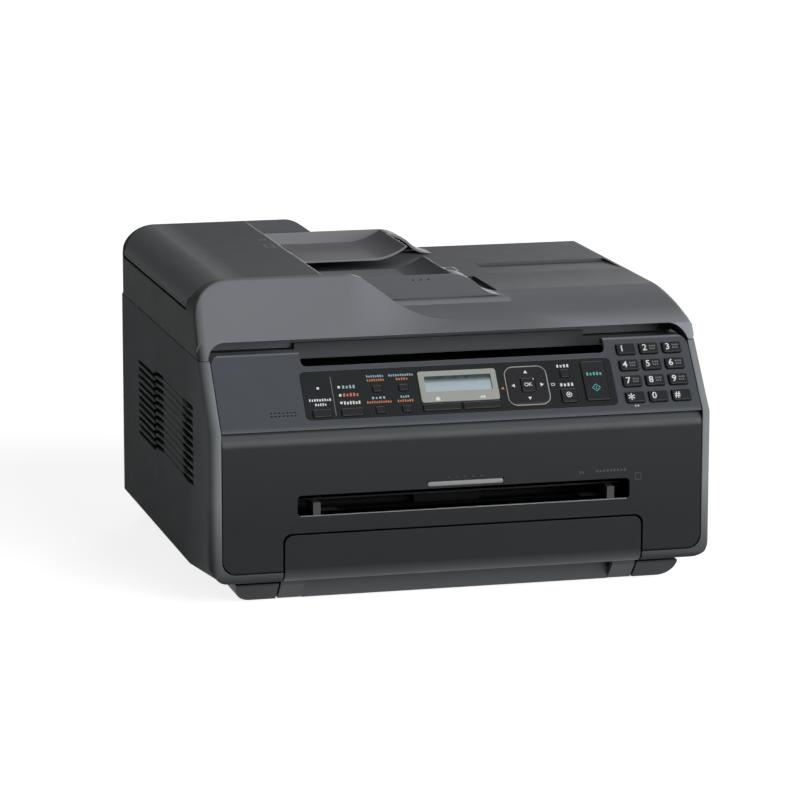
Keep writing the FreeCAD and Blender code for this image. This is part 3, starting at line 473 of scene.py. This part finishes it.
# Feeder cover: a painted highlight makes its left rounding lighter.
FEEDER_GREY = moulded("feeder_grey", (0.072, 0.075, 0.081), 0.6, 0.05, painted_shading=(
    ((0.26, 0.274, 0.285), ("X", -186, -145)),))
WALL_GREY = moulded("wall_grey", (0.12, 0.124, 0.134), 0.6, 0.05)
PANEL_SLATE = moulded("panel_slate", (0.065, 0.071, 0.083), 0.36, 0.16, 2600, 0.2)
OVERLAY_BLACK = moulded("overlay_black", (0.0215, 0.0243, 0.0247), 0.3, 0.1, 3000, 0.05)
KEY_BLACK = moulded("key_black", (0.0235, 0.0238, 0.0268), 0.3, 0.18, 3000, 0.1)
INSIDE_BLACK = moulded("inside_black", (0.012, 0.0125, 0.013), 0.6, 0.2)
PLINTH_BLACK = moulded("plinth_black", (0.034, 0.037, 0.039), 0.5, 0.2)
# Scanner bed: lightened as painted light, standing in for light under the lid's shadow.
BED_LIT_GREY = moulded("bed_painted_light", (0.078, 0.083, 0.088), 0.5, 0.1)
# Painted light: a pale grey sheet on the shaded hood inside the feed slot.
HOOD_LIT_GREY = moulded("hood_painted_light", (0.17, 0.185, 0.197), 0.5, 0.2)
FINGER_BLACK = moulded("finger_black", (0.03, 0.033, 0.036), 0.3, 0.4, worn=0.9)
TRAY_BLACK = moulded("tray_black", (0.05, 0.053, 0.056), 0.5, 0.2)
# Painted highlight: the pale bar in the scoop over the slot and the bright edge of the sill.
HIGHLIGHT_GREY = moulded("painted_highlight_grey", (0.24, 0.245, 0.25), 0.4, 0.3)
SILVER_TRIM = moulded("silver_trim", (0.31, 0.32, 0.297), 0.42, 0.3, 2600, 0.1)
RUBBER_BLACK = moulded("rubber_black", (0.016, 0.016, 0.017), 0.75, 0.15, 900, 0.4)
PRINT_WHITE = printed("print_white", (0.72, 0.74, 0.74))
PRINT_GREY = printed("print_grey", (0.2, 0.21, 0.215))
PRINT_FAINT = printed("print_faint", (0.06, 0.063, 0.066))
PRINT_DARK = printed("print_dark", (0.02, 0.021, 0.022))
PRINT_ORANGE = printed("print_orange", (0.56, 0.2, 0.09))
PRINT_BLUE = printed("print_blue", (0.3, 0.46, 0.52))
PRINT_TEAL = printed("print_teal", (0.09, 0.42, 0.41))
STEEL = brushed_steel()
DRUM_COAT = drum_coating()
BOARD_GREEN = board_lacquer()
CLEAR_GLASS = platen_glass()
DISPLAY = display_glass()
FOAM = foam_white()


def as_piece(work, name, body, finish, crease=40):
    """Turns a bmesh into a piece that rides on a body."""
    mesh = bpy.data.meshes.new(name)
    work.to_mesh(mesh)
    work.free()
    mesh.polygons.foreach_set("use_smooth", [True] * len(mesh.polygons))
    mesh.set_sharp_from_angle(angle=math.radians(crease))
    mesh.materials.append(finish)
    piece = bpy.data.objects.new(name, mesh)
    bpy.context.scene.collection.objects.link(piece)
    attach(piece, body)
    return piece


def laid_piece(work, face, name, body, finish, crease=40):
    """Moves what was drawn flat onto a face and makes it a piece."""
    bmesh.ops.recalc_face_normals(work, faces=work.faces)
    bmesh.ops.transform(work, matrix=face, verts=work.verts)
    as_piece(work, name, body, finish, crease)


def rounded(work, edges, radius, steps):
    """Rounds edges with an even arc."""
    bmesh.ops.bevel(
        work, geom=edges, offset=radius * MM, offset_type="OFFSET", segments=steps,
        profile=0.5, affect="EDGES", material=-1)


def softened(node, body, finish, width):
    """Stands a merged copy of a shell in for its node, with the sharp edges rounded."""
    shell = bmesh.new()
    shell.from_mesh(nodes[node].data)
    bmesh.ops.remove_doubles(shell, verts=shell.verts, dist=MERGE_REACH * MM)
    bmesh.ops.dissolve_limit(
        shell, angle_limit=math.radians(FLAT_ANGLE), verts=shell.verts, edges=shell.edges)
    limit = math.radians(SHARP_ANGLE)
    sharp = [e for e in shell.edges if e.is_manifold and e.calc_face_angle() > limit]
    rounded(shell, sharp, width, 2)
    piece = as_piece(shell, node + "_shell", body, finish, 50)
    even = piece.modifiers.new("even_normals", "WEIGHTED_NORMAL")
    even.keep_sharp = True
    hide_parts(node)


def plate(work, x0, x1, s0, s1, h0, h1, radius=0.0, steps=4):
    """A flat plate in a face's own measures, with rounded corners if asked."""
    made = bmesh.ops.create_cube(work, size=1)["verts"]
    size = Vector((x1 - x0, s1 - s0, h1 - h0))
    middle = Vector(((x0 + x1) / 2, (s0 + s1) / 2, (h0 + h1) / 2))
    bmesh.ops.scale(work, vec=size * MM, verts=made)
    bmesh.ops.translate(work, vec=middle * MM, verts=made)
    if radius:
        around = dict.fromkeys(e for v in made for e in v.link_edges)
        upright = [e for e in around if abs(e.verts[0].co.z - e.verts[1].co.z) > 1e-7]
        rounded(work, upright, radius, steps)


def ring_plate(work, x0, x1, s0, s1, h0, h1, radius, wall):
    """A flat rounded ring: a plate with its top and bottom inset, opened and joined."""
    others = set(work.faces)
    plate(work, x0, x1, s0, s1, h0, h1, radius, 6)
    work.normal_update()
    caps = [f for f in work.faces if f not in others and abs(f.normal.z) > 0.9]
    bmesh.ops.inset_individual(work, faces=caps, thickness=wall * MM)
    bmesh.ops.delete(work, geom=caps, context="FACES_ONLY")
    open_edges = [e for e in work.edges if e.is_boundary]
    bmesh.ops.bridge_loops(work, edges=open_edges)


def even_ring(work, middle, reach, h0, h1, radius, wall):
    """A ring as wide as it is high, about a middle."""
    x, s = middle
    ring_plate(work, x - reach, x + reach, s - reach, s + reach, h0, h1, radius, wall)


def print_plate(work, outline, h):
    """A printed patch, half sunk in the height h."""
    plate(work, *outline, h - PRINT_DEPTH, h + PRINT_DEPTH)


def ticks(work, x, s, width, height, count, h, depth=PRINT_DEPTH):
    """A row of small printed ticks, centred on x and s."""
    pitch = width / count
    for i in range(count):
        left = x - width / 2 + i * pitch
        short = height * (0.8 if i % 3 == 1 else 1)
        plate(work, left + 0.2 * pitch, left + 0.75 * pitch,
              s - height / 2, s - height / 2 + short, h - depth, h + depth)


def arrow(work, x, s, turn, size, h):
    """A small printed triangle pointing along turn, in degrees from up."""
    made = bmesh.ops.create_cone(
        work, cap_ends=True, segments=3, radius1=size * MM, radius2=size * MM,
        depth=2 * PRINT_DEPTH * MM)["verts"]
    spin = Matrix.Rotation(math.radians(-turn), 3, "Z")
    bmesh.ops.rotate(work, verts=made, matrix=spin)
    bmesh.ops.translate(work, vec=Vector((x, s, h)) * MM, verts=made)


def lettered(text, size, x, s, h, bold):
    """A bmesh of flat characters centred on x and s."""
    curve = bpy.data.curves.new("characters", "FONT")
    curve.body = text
    curve.size = size * MM
    curve.offset = bold * MM
    curve.align_x = "CENTER"
    curve.align_y = "CENTER"
    curve.extrude = PRINT_DEPTH * MM
    curve.resolution_u = 4
    holder = bpy.data.objects.new("characters", curve)
    bpy.context.scene.collection.objects.link(holder)
    bpy.context.view_layer.update()
    mesh = bpy.data.meshes.new_from_object(holder)
    bpy.data.objects.remove(holder)
    work = bmesh.new()
    work.from_mesh(mesh)
    bmesh.ops.remove_doubles(work, verts=work.verts, dist=0.001 * MM)
    bmesh.ops.translate(work, vec=Vector((x, s, h)) * MM, verts=work.verts)
    return work


def number_keys():
    """White figures on the number keys, with two small rows of grey ticks beside most of them."""
    for row, figures in zip(DIGIT_ROWS, DIGIT_LAYOUT):
        for column, figure in zip(DIGIT_COLUMNS, figures):
            node = DIGIT_NODES.get(figure, "key_" + figure)
            body = node + "_body"
            size, drop = (STAR_SIZE, STAR_DROP) if figure == "*" else (FIGURE_SIZE, FIGURE_DROP)
            work = lettered(figure, size, column - FIGURE_LEFT, row - drop, TALL_KEY, FIGURE_BOLD)
            laid_piece(work, PANEL_FACE, node + "_figure", body, PRINT_WHITE)
            if figure in TICKED_FIGURES:
                work = bmesh.new()
                for x, s, *extent in FIGURE_TICKS:
                    ticks(work, column + x, row + s, *extent, TALL_KEY)
                laid_piece(work, PANEL_FACE, node + "_ticks", body, PRINT_GREY)


def nav_marks():
    """Four arrows round the centre key, and the centre key's own letters."""
    work = bmesh.new()
    for turn in QUARTER_TURNS:
        away = Matrix.Rotation(math.radians(-turn), 2) @ Vector((0, NAV_ARROW_OUT))
        arrow(work, NAV_MIDDLE[0] + away.x, NAV_MIDDLE[1] + away.y, turn, NAV_ARROW_SIZE, NAV_TOP)
    laid_piece(work, PANEL_FACE, "nav_arrows", "nav", PRINT_WHITE)
    work = lettered("OK", OK_SIZE, *OK_MIDDLE, TALL_KEY, OK_BOLD)
    print_plate(work, OK_DOT, TALL_KEY)
    laid_piece(work, PANEL_FACE, "ok_letters", "ok_key_body", PRINT_WHITE)


def nav_ring():
    """The silver line round the four-way key."""
    work = bmesh.new()
    even_ring(work, NAV_MIDDLE, NAV_RING_REACH, *NAV_RING_HEIGHTS, NAV_RING_CORNER, NAV_RING_WALL)
    laid_piece(work, PANEL_FACE, "nav_ring", "chassis", SILVER_TRIM, 30)


def panel_print():
    """Small generic marks beside the keys in white, blue and orange, and the dividing line."""
    white, blue, orange = bmesh.new(), bmesh.new(), bmesh.new()
    for work, rows in ((white, WHITE_ROWS), (blue, BLUE_ROWS), (orange, ORANGE_ROWS)):
        for row in rows:
            ticks(work, *row, OVERLAY_TOP)
    ticks(white, *STAR_KEY_ROW, 0)
    ring_plate(
        white, *PAGE_SIGN, OVERLAY_TOP - PRINT_DEPTH, OVERLAY_TOP + PRINT_DEPTH, 0.2, 0.4)
    for x, s in LAMP_MIDDLES:
        plate(white, x - LAMP_REACH, x + LAMP_REACH, s - LAMP_REACH, s + LAMP_REACH,
              OVERLAY_TOP - PRINT_DEPTH, OVERLAY_TOP + LAMP_DEPTH)
    arrow(orange, *ALARM_ARROW, 270, ALARM_SIZE, OVERLAY_TOP)
    line = bmesh.new()
    print_plate(line, DIVIDER, OVERLAY_TOP)
    for work, name, ink in ((white, "white_marks", PRINT_WHITE), (blue, "blue_marks", PRINT_BLUE),
                            (orange, "orange_marks", PRINT_ORANGE),
                            (line, "dividing_line", PRINT_GREY)):
        laid_piece(work, PANEL_FACE, name, "chassis", ink)


def start_stop_marks():
    """Ticks and a teal diamond on the start key, and a round sign on the stop key."""
    work = bmesh.new()
    ticks(work, *START_ROW, LOW_KEY)
    laid_piece(work, PANEL_FACE, "start_ticks", "start_key_body", PRINT_TEAL)
    work = bmesh.new()
    even_ring(work, (0, 0), START_REACH, -PRINT_DEPTH, PRINT_DEPTH, 0.2, 0.55)
    eighth = Matrix.Rotation(math.radians(45), 3, "Z")
    bmesh.ops.rotate(work, verts=work.verts, matrix=eighth)
    print_plate(work, START_BAR, 0)
    bmesh.ops.translate(work, vec=Vector((*START_MIDDLE, LOW_KEY)) * MM, verts=work.verts)
    laid_piece(work, PANEL_FACE, "start_diamond", "start_key_body", PRINT_TEAL)
    work = bmesh.new()
    even_ring(work, (0, 0), STOP_REACH, -PRINT_DEPTH, PRINT_DEPTH, 2.1, 0.6)
    print_plate(work, STOP_SQUARE, 0)
    bmesh.ops.translate(work, vec=Vector((*STOP_MIDDLE, LOW_KEY)) * MM, verts=work.verts)
    laid_piece(work, PANEL_FACE, "stop_sign", "stop_key_body", PRINT_WHITE)


def display_icons():
    """Two small pale signs on the lower band of the display frame: a page and a pointer."""
    work = bmesh.new()
    for outline in DISPLAY_SIGNS:
        print_plate(work, outline, DISPLAY_FRAME_TOP)
    arrow(work, *DISPLAY_ARROW, 270, DISPLAY_ARROW_SIZE, DISPLAY_FRAME_TOP)
    laid_piece(work, PANEL_FACE, "display_icons", "chassis", PRINT_WHITE)


def painted_light_plate(form, edge, face, name, finish):
    """A pale plate of painted light on the front door, with the edges of its outer face rounded."""
    work = bmesh.new()
    plate(work, *form)
    top = form[5] * MM
    rim = [e for e in work.edges if all(abs(v.co.z - top) < 1e-7 for v in e.verts)]
    rounded(work, rim, edge, 3)
    laid_piece(work, face, name, "front_door", finish)


def slot_painted_light():
    """Painted light at the feed slot: a pale bar that is a painted highlight in the scoop over it, a
    paler sheet that is painted light on the shaded hood inside it, and a painted highlight along the
    edge of its sill.
    """
    painted_light_plate(SCOOP_HIGHLIGHT, 0.8, DOOR_FACE, "scoop_highlight", HIGHLIGHT_GREY)
    painted_light_plate(HOOD_LIT_SHEET, 0.3, FLAP_FACE, "hood_lit_sheet", HOOD_LIT_GREY)
    painted_light_plate(SILL_HIGHLIGHT, 0.25, DOOR_FACE, "sill_highlight", HIGHLIGHT_GREY)


def faint_marks():
    """Dots over the finger scoop, faint ticks over the slot, and the small signs on the lid."""
    work = bmesh.new()
    for x in BAR_DOT_COLUMNS:
        plate(work, x - BAR_DOT_REACH, x + BAR_DOT_REACH, *BAR_DOT_SPAN, -FILM, FILM)
    for row in DOOR_ROWS:
        ticks(work, *row, 0, FILM)
    ring_plate(work, *DOOR_SIGN, -FILM, FILM, 0.4, 0.5)
    laid_piece(work, DOOR_FACE, "door_marks", "front_door", PRINT_FAINT)
    work = bmesh.new()
    for x in GUIDE_DOT_COLUMNS:
        plate(work, x - GUIDE_DOT_REACH, x + GUIDE_DOT_REACH, *GUIDE_DOT_SPAN, -FILM, FILM, 0.4, 3)
    laid_piece(work, GUIDE_WALL, "guide_dots", "guide_front", PRINT_DARK)
    work = bmesh.new()
    ring_plate(work, *LID_SIGN, -FILM, FILM, 1.0, 0.9)
    laid_piece(work, LID_TOP, "lid_sign", "lid", PRINT_WHITE)
    work = bmesh.new()
    ticks(work, *FEEDER_ROW, 0, FILM)
    ring_plate(work, *FEEDER_SIGN, -FILM, FILM, 0.8, 0.9)
    laid_piece(work, FEEDER_TOP, "feeder_sign", "feeder", PRINT_GREY)


def screw_quarter(work, x, s, turn):
    """A quarter of a domed screw head, cut clear of the cross."""
    quarter = bmesh.new()
    bmesh.ops.create_cone(
        quarter, cap_ends=True, segments=SCREW_SIDES, radius1=SCREW_RADIUS * MM,
        radius2=SCREW_CROWN * MM, depth=SCREW_DOME * MM)
    for side in ((1, 0, 0), (0, 1, 0)):
        bmesh.ops.bisect_plane(
            quarter, geom=quarter.verts[:] + quarter.edges[:] + quarter.faces[:],
            plane_co=Vector(side) * SCREW_CROSS * MM, plane_no=side, clear_inner=True)
        open_edges = [e for e in quarter.edges if e.is_boundary]
        bmesh.ops.holes_fill(quarter, edges=open_edges, sides=0)
    spin = Matrix.Rotation(math.radians(turn), 4, "Z")
    place = Matrix.Translation(Vector((x, s, -SCREW_DOME_SUNK)) * MM)
    bmesh.ops.transform(quarter, matrix=place @ spin, verts=quarter.verts)
    mesh = bpy.data.meshes.new("quarter")
    quarter.to_mesh(mesh)
    quarter.free()
    work.from_mesh(mesh)
    bpy.data.meshes.remove(mesh)


def screw_heads():
    """Cross-head screws in the recesses of the rear panel."""
    work = bmesh.new()
    for x in SCREW_COLUMNS:
        for z in SCREW_ROWS:
            for turn in QUARTER_TURNS:
                screw_quarter(work, x, -z, turn)
            made = bmesh.ops.create_cone(
                work, cap_ends=True, segments=SCREW_SIDES, radius1=SCREW_RADIUS * MM,
                radius2=SCREW_RADIUS * MM, depth=SCREW_DISC * MM)["verts"]
            bmesh.ops.translate(work, vec=Vector((x, -z, -SCREW_DISC_SUNK)) * MM, verts=made)
    laid_piece(work, BACK_FACE, "rear_screws", "chassis", STEEL, 30)


def pad_on_lid():
    """The soft white pad under the lid: a thin slab with rounded edges."""
    low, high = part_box("platen_pad")
    size = high - low
    middle = Vector(((low.x + high.x) / 2, (low.y + high.y) / 2, low.z + PAD_LIFT * MM))
    work = bmesh.new()
    made = bmesh.ops.create_grid(
        work, x_segments=PAD_CELLS[0], y_segments=PAD_CELLS[1], size=0.5)["verts"]
    extent = Vector((size.x - PAD_SHORTER * MM, size.y - PAD_SHORTER * MM, 1))
    bmesh.ops.scale(work, vec=extent, verts=made)
    bottom = work.faces[:]
    bmesh.ops.reverse_faces(work, faces=bottom)
    raised = bmesh.ops.extrude_face_region(work, geom=bottom)["geom"]
    tops = [g for g in raised if isinstance(g, bmesh.types.BMVert)]
    bmesh.ops.translate(work, vec=Vector((0, 0, size.z - PAD_THINNER * MM)), verts=tops)
    bmesh.ops.translate(work, vec=middle, verts=work.verts)
    bmesh.ops.recalc_face_normals(work, faces=work.faces)
    rims = [e for e in work.edges if e.calc_face_angle(0) > 1]
    rounded(work, rims, PAD_ROUNDING, 3)
    piece = as_piece(work, "lid_pad", "lid", FOAM, 60)
    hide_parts("platen_pad")


def dress_nodes():
    """A finish for every node that keeps its CAD shape."""
    worn_by = (
        (LID_GREY, ("document_cover",)),
        (INSIDE_BLACK, ("scan_carriage", "toner_cartridge", "laser_unit", "lift_plate",
                        "power_switch", "lid_hinges", "rear_sockets")),
        (TRAY_BLACK, ("output_tray",)),
        (FINGER_BLACK, ("manual_guide_left", "manual_guide_right")),
        (RUBBER_BLACK, ("rubber_feet", "pickup_roller", "adf_pickup_roller", "adf_feed_roller")),
        (STEEL, ("fuser_roller",)),
        (DRUM_COAT, ("drum",)),
        (BOARD_GREEN, ("circuit_boards",)),
        (CLEAR_GLASS, ("scanner_glass",)),
        (DISPLAY, ("lcd_screen",)),
        (FOAM, ("platen_pad",)),
    )
    for finish, names in worn_by:
        for name in names:
            data = nodes[name].data
            data.materials.clear()
            data.materials.append(finish)


def shells():
    """The moulded shells and keys, with their edges softened."""
    softened("front_cover", "front_door", FRONT_BLACK, 0.5)
    softened("paper_cassette", "cassette", TRAY_FRONT, 0.5)
    softened("left_panel", "chassis", SIDE_GREY, 0.15)
    softened("right_panel", "chassis", SIDE_GREY, 0.5)
    softened("rear_panel", "chassis", SIDE_GREY, 0.5)
    softened("rear_cover", "rear_door", SIDE_GREY, 0.5)
    softened("base_frame", "chassis", PLINTH_BLACK, 0.4)
    softened("scanner_bed", "chassis", BED_LIT_GREY, 0.5)
    softened("control_panel", "chassis", PANEL_SLATE, 0.4)
    softened("panel_overlay", "chassis", OVERLAY_BLACK, 0.1)
    softened("lcd_frame", "chassis", SILVER_TRIM, 0.25)
    softened("adf_cover", "feeder", FEEDER_GREY, 0.4)
    softened("document_guide_front", "guide_front", WALL_GREY, 0.4)
    softened("document_guide_rear", "guide_rear", GUIDE_GREY, 0.4)
    softened("nav_key", "nav", KEY_BLACK, 0.3)
    for name in sorted(nodes):
        is_key = name.startswith(("key_", "soft_key")) or name.endswith("_key")
        if is_key and name != "nav_key":
            softened(name, name + "_body", KEY_BLACK, 0.3)


def set_camera():
    """The photograph's viewing angle."""
    data = bpy.data.cameras.new("camera")
    data.lens = CAMERA_LENS
    data.sensor_width = CAMERA_SENSOR
    data.clip_end = CAMERA_FAR
    camera = bpy.data.objects.new("camera", data)
    turn = (Matrix.Rotation(math.radians(-CAMERA_YAW), 4, "Z")
            @ Matrix.Rotation(math.radians(90 - CAMERA_PITCH), 4, "X")
            @ Matrix.Rotation(math.radians(CAMERA_ROLL), 4, "Z"))
    camera.matrix_world = Matrix.Translation(CAMERA_PLACE) @ turn
    bpy.context.scene.collection.objects.link(camera)
    bpy.context.scene.camera = camera


def seen_directly(tree):
    """One for rays that show the background: seen, mirrored or through glass."""
    path = tree.nodes.new("ShaderNodeLightPath")
    seen = greater(tree, path.outputs["Is Camera Ray"], path.outputs["Is Glossy Ray"])
    return greater(tree, seen, path.outputs["Is Transmission Ray"])


def set_floor():
    """A wide pale floor that looks white and keeps a light shadow."""
    work = bmesh.new()
    bmesh.ops.create_grid(work, x_segments=1, y_segments=1, size=FLOOR_REACH)
    mesh = bpy.data.meshes.new("floor")
    work.to_mesh(mesh)
    work.free()
    floor = bpy.data.objects.new("floor", mesh)
    bpy.context.scene.collection.objects.link(floor)
    material = bpy.data.materials.new("floor_paper")
    material.use_nodes = True
    tree = material.node_tree
    paper = tree.nodes["Principled BSDF"]
    paper.inputs["Base Color"].default_value = (FLOOR_GREY, FLOOR_GREY, FLOOR_GREY, 1)
    paper.inputs["Roughness"].default_value = 1
    paper.inputs["Specular IOR Level"].default_value = 0
    paper.inputs["Emission Color"].default_value = (1, 1, 1, 1)
    glow = tree.nodes.new("ShaderNodeMath")
    glow.operation = "MULTIPLY"
    glow.inputs[1].default_value = FLOOR_GLOW
    tree.links.new(seen_directly(tree), glow.inputs[0])
    tree.links.new(glow.outputs[0], paper.inputs["Emission Strength"])
    mesh.materials.append(material)


def new_lamp(name, kind, strength):
    """A lamp in the scene."""
    light = bpy.data.lights.new(name, kind)
    light.energy = strength
    lamp = bpy.data.objects.new(name, light)
    bpy.context.scene.collection.objects.link(lamp)
    return lamp


def soft_sun(name, strength, angle, source):
    """A broad light from one direction, as wide as angle in degrees."""
    lamp = new_lamp(name, "SUN", strength)
    lamp.data.angle = math.radians(angle)
    lamp.rotation_euler = Vector(source).to_track_quat("Z", "Y").to_euler()


def set_light():
    """A broad soft light in front, a strip overhead for the edges, a fill behind and a low surround."""
    soft_sun("soft_front", FRONT_STRENGTH, FRONT_ANGLE, FRONT_FROM)
    strip = new_lamp("overhead_strip", "AREA", STRIP_POWER)
    strip.data.shape = "RECTANGLE"
    strip.data.size, strip.data.size_y = STRIP_SIZE
    strip.location = STRIP_PLACE
    strip.visible_diffuse = False
    soft_sun("back_fill", FILL_STRENGTH, FILL_ANGLE, FILL_FROM)
    world = bpy.data.worlds.new("surround")
    world.use_nodes = True
    sky = world.node_tree.nodes["Background"]
    sky.inputs["Color"].default_value = (1, 1, 1, 1)
    sky.inputs["Strength"].default_value = SURROUND_STRENGTH
    bpy.context.scene.world = world
    bpy.context.scene.view_settings.view_transform = "Standard"


dress_nodes()
shells()
number_keys()
nav_marks()
nav_ring()
panel_print()
start_stop_marks()
display_icons()
slot_painted_light()
faint_marks()
screw_heads()
pad_on_lid()
set_camera()
set_floor()
set_light()
